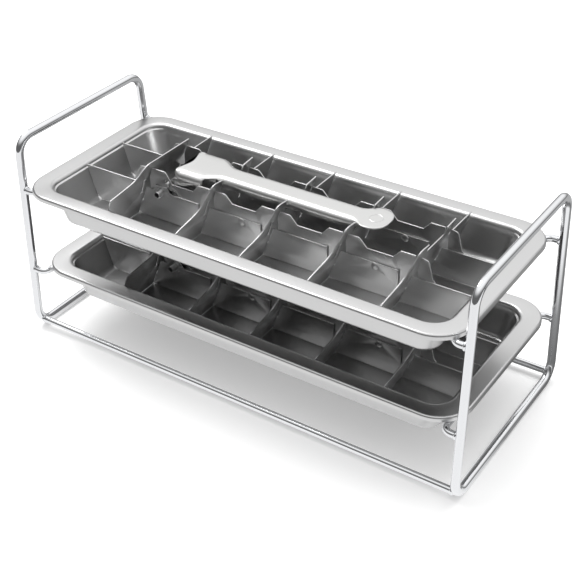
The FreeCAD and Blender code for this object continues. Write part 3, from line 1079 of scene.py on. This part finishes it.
@dataclass
class Lever:
    """The lever: an inverted channel with a broad head, two cheeks on the tube and a flat round tip.

    Places along the lever are from the tray's middle, and heights from the rim's top.

    Attributes:
        top: height of the lever's top.
        sheet: thickness of the metal.
        shoulder: radius between the handle's top and its flanges.
        head_shoulder: the same radius along the head's sides.
        left: where the head ends.
        hollow: how far the middle of the head's end is drawn in.
        end_points: points along half the head's end.
        end_length: length over which the shoulder grows from the head's end.
        end_share: share of the shoulder's radius that is left at the head's end.
        end_lip: how far the head's end is turned down between its corners.
        end_lip_inset: how far inside the head's sides that turned end stops.
        corner: length and width of the head's rounded corner.
        head_side: where the head's straight sides start and end.
        narrow: where the head starts to narrow, and over what length.
        slim_from: where the shoulder has the handle's radius.
        handle: where the handle's straight sides start and end.
        neck: where the tip starts to widen, and over what length.
        flat_from: where the flanges have run out, at the tip's neck.
        tip_middle: middle of the tip's round end.
        tip: where the tip ends.
        tip_powers: powers of the cosine and sine in the tip's outline.
        tip_round: radius of the tip's edge.
        head_half: half the head's width.
        handle_half: half the handle's width.
        tip_half: half the tip's width.
        boss: radius of a cheek's round end about the tube.
        tube_hole: radius of the hole for the tube.
        pin_hole: radius of the hole for the link pin.
        cheek_gap: how far a cheek lies inside the head's width.
        cheek_sunk: how far a cheek's top edge lies under the lever's top.
        cheek_inset: how far a cheek's top edge starts inside the head's end.
        cheek_edge: radius of a cheek's edges.
        tab_ends: where the bent tab starts and ends along the lever.
        tab_centre: centre of the tab's bend, as its distance from the middle and under the top.
        tab_radii: outer and inner radius of the tab's bend.
        tab_drop: length of the tab's straight end.
        ring_x: place of the ring on the tip.
        ring_radius: radius of that ring.
        ring_wire: radius of its section.
        ring_sunk: how far its middle lies under the lever's top.
        finish: the lever's finish.
    """

    top: float = 12.1
    sheet: float = 0.8
    shoulder: float = 3.8
    head_shoulder: float = 4.8
    left: float = -63.2
    hollow: float = 2.3
    end_points: int = 13
    end_length: float = 4.0
    end_share: float = 0.25
    end_lip: float = 2.6
    end_lip_inset: float = 4.5
    corner: tuple[float, float] = (4.5, 4.0)
    head_side: tuple[float, float] = (-57.0, -47.5)
    narrow: tuple[float, float] = (-47.0, 15.5)
    slim_from: float = -31.0
    handle: tuple[float, float] = (-29.0, 50.0)
    neck: tuple[float, float] = (51.0, 9.0)
    flat_from: float = 57.0
    tip_middle: float = 60.5
    tip: float = 70.0
    tip_powers: tuple[float, float] = (0.85, 0.8)
    tip_round: float = 0.4
    head_half: float = 14.8
    handle_half: float = 8.0
    tip_half: float = 10.6
    boss: float = 4.6
    tube_hole: float = 2.25
    pin_hole: float = 1.55
    cheek_gap: float = 0.06
    cheek_sunk: float = 4.4
    cheek_inset: float = 1.4
    cheek_edge: float = 0.2
    tab_ends: tuple[float, float] = (-41.5, -37.0)
    tab_centre: tuple[float, float] = (6.1, 3.5)
    tab_radii: tuple[float, float] = (2.8, 2.1)
    tab_drop: float = 1.2
    ring_x: float = 61.8
    ring_radius: float = 3.7
    ring_wire: float = 0.16
    ring_sunk: float = 0.05
    finish: SteelFinish = TUMBLED

    def outline(self) -> Array:
        """Half the outline in plan, from the middle of the left end round to the tip's point.

        The head's end is hollowed by a cosine wave and its corner is a quarter ellipse. The head narrows
        to the handle along half a cosine wave, the neck widens along another, and the tip is half a
        superellipse.

        Returns:
            Points (x, y), one row each.
        """
        corner_x, corner_y = self.corner
        side = np.linspace(0.0, self.head_half - corner_y, self.end_points)
        hollow = self.hollow * (0.5 + 0.5 * np.cos(math.pi * side / side[-1]))
        rows = [pairs(self.left + hollow, side)]
        turn = arc(180.0, 90.0, 12)
        corner = self.head_half - corner_y + corner_y * np.sin(turn)
        rows.append(pairs(self.left + corner_x + corner_x * np.cos(turn), corner))
        rows.append(pairs(np.linspace(*self.head_side, 5), self.head_half))
        wave = np.linspace(0.0, math.pi, 26)
        drop = self.head_half - self.handle_half
        narrowing = self.handle_half + drop * (0.5 + 0.5 * np.cos(wave))
        rows.append(pairs(self.narrow[0] + self.narrow[1] * wave / math.pi, narrowing))
        rows.append(pairs(np.linspace(*self.handle, 24), self.handle_half))
        rise = self.tip_half - self.handle_half
        widening = self.handle_half + rise * (0.5 - 0.5 * np.cos(wave))
        rows.append(pairs(self.neck[0] + self.neck[1] * wave / math.pi, widening))
        turn = arc(88.0, 0.0, 30)
        reach = self.tip - self.tip_middle
        tip_x = self.tip_middle + reach * np.cos(turn) ** self.tip_powers[0]
        rows.append(pairs(tip_x, self.tip_half * np.sin(turn) ** self.tip_powers[1]))
        return np.concatenate(rows)

    @staticmethod
    def flange(x: Array) -> Array:
        """Depth of the flange's lower edge under the lever's top, with straight runs between its stops.

        Args:
            x: places along the lever.

        Returns:
            The depth at each place.
        """
        arch = [(-63.2, 7.0), (-58.0, 6.6), (-55.5, 5.0), (-51.0, 4.6), (-47.0, 5.2), (-44.6, 7.0)]
        notch = [(-43.6, 7.4), (-43.2, 6.6), (-42.8, 2.2), (-41.8, 1.0), (-35.8, 1.0), (-34.6, 2.2)]
        along = [(-33.4, 6.0), (-31.0, 6.2), (-20.0, 5.6), (44.0, 5.2), (50.0, 4.4)]
        run_out = [(54.5, 2.6), (57.5, 0.8), (70.0, 0.8)]
        stops = np.array(arch + notch + along + run_out)
        return np.interp(x, stops[:, 0], stops[:, 1])

    def channel(self) -> Mesh:
        """The channel's closed skin, with its top at a height of 0.

        At each point of the outline the section runs from the lower edge up the flange, round the
        shoulder and across the top to the other side; the inside follows it one thickness away. The
        shoulder's arc lies along the outline's own normal, ends early where the flange is notched, and
        shrinks to the sheet's edge at the tip.

        Returns:
            Points and quads.
        """
        least_inner = 0.02
        half = self.outline()
        x, y = half.T
        step = np.gradient(half, axis=0)
        step /= np.linalg.norm(step, axis=1, keepdims=True)
        step[0] = (0.0, 1.0)
        step[-1] = (0.0, -1.0)
        normal = np.stack([-step[:, 1], step[:, 0]], axis=-1)
        blend = np.clip((x - self.handle[1]) / (self.flat_from - self.handle[1]), 0.0, 1.0)
        end = np.arange(len(half)) <= self.end_points
        grown = np.where(end, 0.0, np.clip((x - self.left) / self.end_length, 0.0, 1.0))
        radius = np.interp(x, [self.narrow[0], self.slim_from], [self.head_shoulder, self.shoulder])
        radius = radius * (1.0 - blend) * (self.end_share + (1.0 - self.end_share) * grown)
        radius = radius + self.tip_round * blend
        turned_end = end & (y < self.head_half - self.end_lip_inset)
        deep = np.where(turned_end, self.end_lip, self.flange(x))
        straight = np.maximum(deep - radius, 0.0)
        start = np.arcsin(np.clip(1.0 - deep / radius, 0.0, 1.0))
        inner = np.maximum(radius - self.sheet, least_inner)
        bend = [start + (math.pi / 2.0 - start) * share for share in np.linspace(0.0, 1.0, 10)]
        outer_rows = [(radius * (np.cos(a) - 1.0), radius * (np.sin(a) - 1.0)) for a in bend]
        outer_rows.insert(0, (outer_rows[0][0], outer_rows[0][1] - straight))
        inner_rows = [(inner * np.cos(a) - radius, inner * np.sin(a) - radius) for a in bend[::-1]]
        inner_rows.append((inner_rows[-1][0], inner_rows[-1][1] - straight))
        rows = outer_rows + [
            (offset, (1.0 - blend) * height - blend * self.sheet) for offset, height in inner_rows
        ]
        section = [np.column_stack([half + normal * offset[:, None], height]) for offset, height in rows]
        return self.mirrored_skin(section, len(outer_rows))

    @staticmethod
    def mirrored_skin(half: list[Array], outer: int) -> Mesh:
        """Joins one half, the flat top and the mirror image of both into one closed skin.

        Args:
            half: lines of points along the lever, over the outside and then back over the inside.
            outer: how many of the lines are on the outside.

        Returns:
            Points and quads.
        """
        flip = np.array([1.0, -1.0, 1.0])
        across = np.linspace(1.0, -1.0, 7)[1:-1]
        top = [half[outer - 1] * np.array([1.0, share, 1.0]) for share in across]
        under = [half[outer] * np.array([1.0, share, 1.0]) for share in -across]
        mirrored = [line * flip for line in half]
        lines = half[:outer] + top + mirrored[:outer][::-1] + mirrored[outer:][::-1] + under + half[outer:]
        return np.concatenate(lines), grid_faces(len(lines), len(half[0]), True, False).tolist()

    def cheek(self, side: int, pivot: Array, pin: Array) -> Mesh:
        """A flat cheek from the head down to the tube, with holes for the tube and the pin.

        Its outline is the boss's arc about the tube and straight runs up to the flange.

        Args:
            side: -1 for the front cheek, 1 for the rear one.
            pivot: the tube's (x, z).
            pin: the link pin's (x, z).

        Returns:
            Points and faces.
        """
        boss = pivot + self.boss * circle_points(arc(142.0, 320.0, 24))
        up = self.top - self.cheek_sunk
        runs = [(-58.5, 3.0), (-52.0, 5.6), (-48.5, 6.6), (-48.5, up), (self.left + self.cheek_inset, up)]
        hole = circle_points(-arc(0.0, 345.0, 24))
        loops = [np.concatenate([boss, runs]), pivot + self.tube_hole * hole, pin + self.pin_hole * hole]
        near = -self.head_half + self.cheek_gap
        if side > 0:
            near = self.head_half - self.sheet - self.cheek_gap
        axes = np.array([[1.0, 0.0, 0.0], [0.0, 0.0, 1.0], [0.0, -1.0, 0.0]])
        return bevelled(loops, axes, np.array([-near - self.sheet, -near]), self.cheek_edge, 2)[0]

    def tab(self, side: int) -> Mesh:
        """The tab bent down inside the head's notch: a strip round a quarter bend with a straight end.

        Args:
            side: -1 for the front tab, 1 for the rear one.

        Returns:
            Points and faces.
        """
        bend = circle_points(arc(90.0, 0.0, 10))
        centre = np.array([self.tab_centre[0], self.top - self.tab_centre[1]])
        outer, inner = (centre + radius * bend for radius in self.tab_radii)
        drop = np.array([[0.0, -self.tab_drop]])
        section = np.concatenate([outer, outer[-1:] + drop, inner[-1:] + drop, inner[::-1]])
        count = len(section)
        y, z = section.T
        rows = [np.column_stack([np.full(count, x), side * y, z]) for x in self.tab_ends]
        faces = grid_faces(2, count, False, True).tolist()
        faces += [list(range(count)), list(range(count, 2 * count))]
        return np.concatenate(rows), faces

    def ring_mark(self) -> Mesh:
        """A faint raised ring on the tip: a thin torus sunk to its middle in the top.

        Returns:
            Points and quads.
        """
        around, across = 48, 8
        turn = np.linspace(0.0, TAU, around, endpoint=False)[:, None]
        bend = np.linspace(0.0, TAU, across, endpoint=False)[None, :]
        radius = self.ring_radius + self.ring_wire * np.cos(bend)
        z = self.top - self.ring_sunk + self.ring_wire * np.sin(bend) + 0 * turn
        points = np.stack([self.ring_x + radius * np.cos(turn), radius * np.sin(turn), z], axis=-1)
        return points.reshape(-1, 3), grid_faces(around, across, True, True).tolist()

    def build(self, tier: Tier, steel: bpy.types.Material) -> None:
        """Builds one tier's lever: the channel, its cheeks and tabs, and the ring on its tip.

        Args:
            tier: the tray's tier.
            steel: the lever's material.
        """
        place = tray_place(tier)
        middle = {}
        for name in ("pivot_tube", "link_pin", "lever"):
            low, high = node_box(tier.node(name))
            middle[name] = (low + high) / 2.0 - place
        pivot, pin = (middle[name][[0, 2]] for name in ("pivot_tube", "link_pin"))
        channel, quads = self.channel()
        parts = [(channel + np.array([0.0, 0.0, self.top]), quads)]
        parts += [self.cheek(side, pivot, pin) for side in (-1, 1)]
        parts += [self.tab(side) for side in (-1, 1)]
        points, faces = join(parts + [self.ring_mark()])
        placed = points + place + (0.0, middle["lever"][1], 0.0)
        piece = make_object(tier.node("lever_channel"), (placed, faces), steel)
        carry(piece, tier.node("lever"), tier.node("lever"))


# Studio


@dataclass(frozen=True)
class Softbox:
    """A rectangular lamp.

    Attributes:
        name: the lamp's name.
        place: its position in millimetres.
        size: its width and height in millimetres.
        watts: its power.
        mirrored: whether the steel mirrors it.
        aim: the point that it faces, in millimetres.
    """

    name: str
    place: tuple[float, float, float]
    size: tuple[float, float]
    watts: float
    mirrored: bool
    aim: tuple[float, float, float] = (0.0, 0.0, 60.0)

    def build(self) -> None:
        """Adds the lamp, turned to face its aim: back points away from it and right is level."""
        data = bpy.data.lights.new(self.name, "AREA")
        data.shape = "RECTANGLE"
        data.size, data.size_y = self.size[0] * MM, self.size[1] * MM
        data.energy = self.watts
        lamp = bpy.data.objects.new(self.name, data)
        lamp.visible_glossy = self.mirrored
        start = np.array(self.place) * MM
        back = start - np.array(self.aim) * MM
        back /= np.linalg.norm(back)
        right = np.cross((0.0, 0.0, 1.0), back)
        right /= np.linalg.norm(right)
        lamp.matrix_world = column_matrix(right, np.cross(back, right), back, start)
        bpy.context.collection.objects.link(lamp)


# The wide light from above: it lights the paper and casts the soft shadow, and the steel doesn't mirror it.
TOP_SOFTBOX = Softbox("top_softbox", (-200.0, 300.0, 1300.0), (1500.0, 1100.0), 12.0, mirrored=False)
# A smaller light from the left that the steel mirrors, for bright lines along its rounded edges.
EDGE_LIGHT = Softbox("edge_light", (-680.0, 180.0, 1150.0), (600.0, 600.0), 7.0, mirrored=True)
# What the steel mirrors of the table, from front to rear: white paper, a painted shadow under the set, grey.
MIRRORED_TABLE_WITH_PAINTED_SHADOW = (
    (0.0, "f0f0f0"), (0.4, "f8f8f8"), (0.46, "cccccc"), (0.5, "909090"), (0.6, "686868"), (0.72, "b0b0b0"),
)
# What the steel mirrors of the room, from the dark low front to the white ceiling behind the set.
MIRRORED_ROOM = (
    (0.0, "606060"), (0.15, "606060"), (0.28, "7c7c7c"), (0.45, "cccccc"), (0.6, "f4f4f4"), (0.8, "ffffff"),
)


@dataclass
class Studio:
    """White floor, soft lights and the camera at the photograph's place.

    Attributes:
        azimuth: camera bearing in degrees, 0 looking along +Y.
        elevation: camera height above the horizon in degrees.
        roll: camera roll in degrees.
        place: camera position in millimetres.
        focal: focal length in pixels of a square picture 576 pixels wide.
        picture: the picture's width in those pixels.
        sensor: width of the camera's sensor in millimetres.
        sight: how far the camera sees, in metres.
        floor_reach: half the floor's width.
        floor_z: height of the floor, just under the feet.
        paper: sRGB hex of the paper.
        glow: strength of the paper's glow to the camera.
        painted_shadow_half: half the length along X of the table's pattern in mirrors, with its painted
            shadow.
        painted_shadow_lean: how that pattern moves to the rear past its half length.
        painted_shadow_span: half the depth along Y over which the pattern changes.
        table_and_painted_shadow_strength: strength of the table and its painted shadow in mirrors.
        ceiling: weights of a direction's X, Y and Z in the room's brightness.
        room_strength: strength of the room.
        lamps: the lamps.
    """

    azimuth: float = 34.92
    elevation: float = 34.31
    roll: float = -1.80
    place: tuple[float, float, float] = (321.02, -455.15, 425.40)
    focal: float = 1160.6
    picture: float = 576.0
    sensor: float = 36.0
    sight: float = 50.0
    floor_reach: float = 6000.0
    floor_z: float = -0.05
    paper: str = "f4f4f4"
    glow: float = 0.24
    painted_shadow_half: float = 150.0
    painted_shadow_lean: float = -0.5
    painted_shadow_span: float = 300.0
    table_and_painted_shadow_strength: float = 1.15
    ceiling: tuple[float, float, float] = (-0.05, 0.25, 0.8)
    room_strength: float = 1.2
    lamps: tuple[Softbox, ...] = (TOP_SOFTBOX, EDGE_LIGHT)

    def camera(self) -> None:
        """Sets the camera from its bearings.

        Back is the direction (sin a cos e, -cos a cos e, sin e) for the azimuth a and the elevation e,
        and right lies level; right and up are then turned by the roll.
        """
        a, e, r = (math.radians(angle) for angle in (self.azimuth, self.elevation, self.roll))
        back = np.array([math.sin(a) * math.cos(e), -math.cos(a) * math.cos(e), math.sin(e)])
        level = np.array([math.cos(a), math.sin(a), 0.0])
        over = np.cross(back, level)
        right = math.cos(r) * level + math.sin(r) * over
        up = -math.sin(r) * level + math.cos(r) * over
        data = bpy.data.cameras.new("camera")
        data.sensor_width = self.sensor
        data.lens = self.focal / self.picture * data.sensor_width
        data.clip_end = self.sight
        camera = bpy.data.objects.new("camera", data)
        camera.matrix_world = column_matrix(right, up, back, np.array(self.place) * MM)
        bpy.context.collection.objects.link(camera)
        bpy.context.scene.camera = camera

    def paper_material(self) -> bpy.types.Material:
        """White paper that keeps the object's shadow and looks in mirrors like a table with a painted
        shadow.

        Camera rays see lit white paper with a little glow, so that it is as white as the background.
        Mirror rays see a glowing table that is white in front of the set, dark under it with a painted
        shadow of the set, and grey behind it. Its pattern runs along Y, less half of how far a place
        lies past the set's ends, so that the painted shadow curves round the set. Other rays see the
        lit paper alone.

        Returns:
            The material.
        """
        material = bpy.data.materials.new("white_paper_floor")
        tree = emptied_tree(material)
        path = add_node(tree, "ShaderNodeLightPath")
        paper = add_node(tree, "ShaderNodeBsdfDiffuse", {"Color": linear(self.paper)}).outputs[0]
        glow = add_node(
            tree, "ShaderNodeEmission", {"Color": linear("ffffff"), "Strength": self.glow}
        ).outputs[0]
        seen = add_node(tree, "ShaderNodeAddShader", {0: paper, 1: glow}).outputs[0]
        place = add_node(tree, "ShaderNodeTexCoord").outputs["Object"]
        split = add_node(tree, "ShaderNodeSeparateXYZ", {0: place})
        aside = add_node(tree, "ShaderNodeMath", {0: split.outputs["X"]}, operation="ABSOLUTE").outputs[0]
        past = add_node(
            tree, "ShaderNodeMath", {0: aside, 1: self.painted_shadow_half * MM}, operation="SUBTRACT"
        ).outputs[0]
        past = add_node(tree, "ShaderNodeMath", {0: past, 1: 0.0}, operation="MAXIMUM").outputs[0]
        depth = add_node(
            tree,
            "ShaderNodeMath",
            {0: past, 1: self.painted_shadow_lean, 2: split.outputs["Y"]},
            operation="MULTIPLY_ADD",
        ).outputs[0]
        span = self.painted_shadow_span * MM
        share = add_node(
            tree, "ShaderNodeMapRange", {"Value": depth, "From Min": -span, "From Max": span}
        ).outputs["Result"]
        # The ramp's dark stops are a painted shadow of the set, which only mirrors see.
        shade = colour_ramp(tree, share, MIRRORED_TABLE_WITH_PAINTED_SHADOW)
        table = add_node(
            tree, "ShaderNodeEmission", {"Color": shade, "Strength": self.table_and_painted_shadow_strength}
        ).outputs[0]
        mirrored = add_node(
            tree, "ShaderNodeMixShader", {0: path.outputs["Is Glossy Ray"], 1: paper, 2: table}
        ).outputs[0]
        both = add_node(
            tree, "ShaderNodeMixShader", {0: path.outputs["Is Camera Ray"], 1: mirrored, 2: seen}
        ).outputs[0]
        add_node(tree, "ShaderNodeOutputMaterial", {"Surface": both})
        return material

    def floor(self) -> None:
        """A wide floor of white paper."""
        reach = self.floor_reach
        corners = np.array([(-reach, -reach), (reach, -reach), (reach, reach), (-reach, reach)])
        points = np.column_stack([corners, np.full(4, self.floor_z)])
        mesh = bpy.data.meshes.new("floor")
        mesh.from_pydata((points * MM).tolist(), [], [(0, 1, 2, 3)])
        sheet = bpy.data.objects.new("floor", mesh)
        bpy.context.collection.objects.link(sheet)
        mesh.materials.append(self.paper_material())

    def room(self) -> None:
        """World light: white to the camera, and for mirrors a pale rear ceiling over a dark front.

        The brightness follows the direction's height plus a share of how far it points to the rear.
        """
        world = bpy.data.worlds.new("studio_room")
        bpy.context.scene.world = world
        tree = emptied_tree(world)
        path = add_node(tree, "ShaderNodeLightPath")
        direction = add_node(tree, "ShaderNodeTexCoord").outputs["Generated"]
        bright = add_node(
            tree, "ShaderNodeVectorMath", {0: direction, 1: self.ceiling}, operation="DOT_PRODUCT"
        ).outputs["Value"]
        shade = colour_ramp(tree, bright, MIRRORED_ROOM)
        walls = add_node(
            tree, "ShaderNodeBackground", {"Color": shade, "Strength": self.room_strength}
        ).outputs[0]
        white = add_node(
            tree, "ShaderNodeBackground", {"Color": linear("ffffff"), "Strength": 1.0}
        ).outputs[0]
        mixed = add_node(
            tree, "ShaderNodeMixShader", {0: path.outputs["Is Camera Ray"], 1: walls, 2: white}
        ).outputs[0]
        add_node(tree, "ShaderNodeOutputWorld", {"Surface": mixed})

    def build(self) -> None:
        """Sets up the whole studio."""
        self.camera()
        self.floor()
        self.room()
        for lamp in self.lamps:
            lamp.build()
        LOG.info("studio ready")


def main() -> None:
    """Builds the set's pieces and the studio, in order."""
    Rack().build()
    pan = Pan()
    divider = Divider()
    lever = Lever()
    pan_steel = pan.finish.material()
    divider_steel = divider.finish.material()
    lever_steel = lever.finish.material()
    for tier in Tier:
        pan.build(tier, pan_steel)
        divider.build(tier, divider_steel)
        lever.build(tier, lever_steel)
    Studio().build()
    bpy.context.scene.view_settings.view_transform = "Standard"


if __name__ == "__main__":
    logging.basicConfig(level=logging.INFO)
    main()
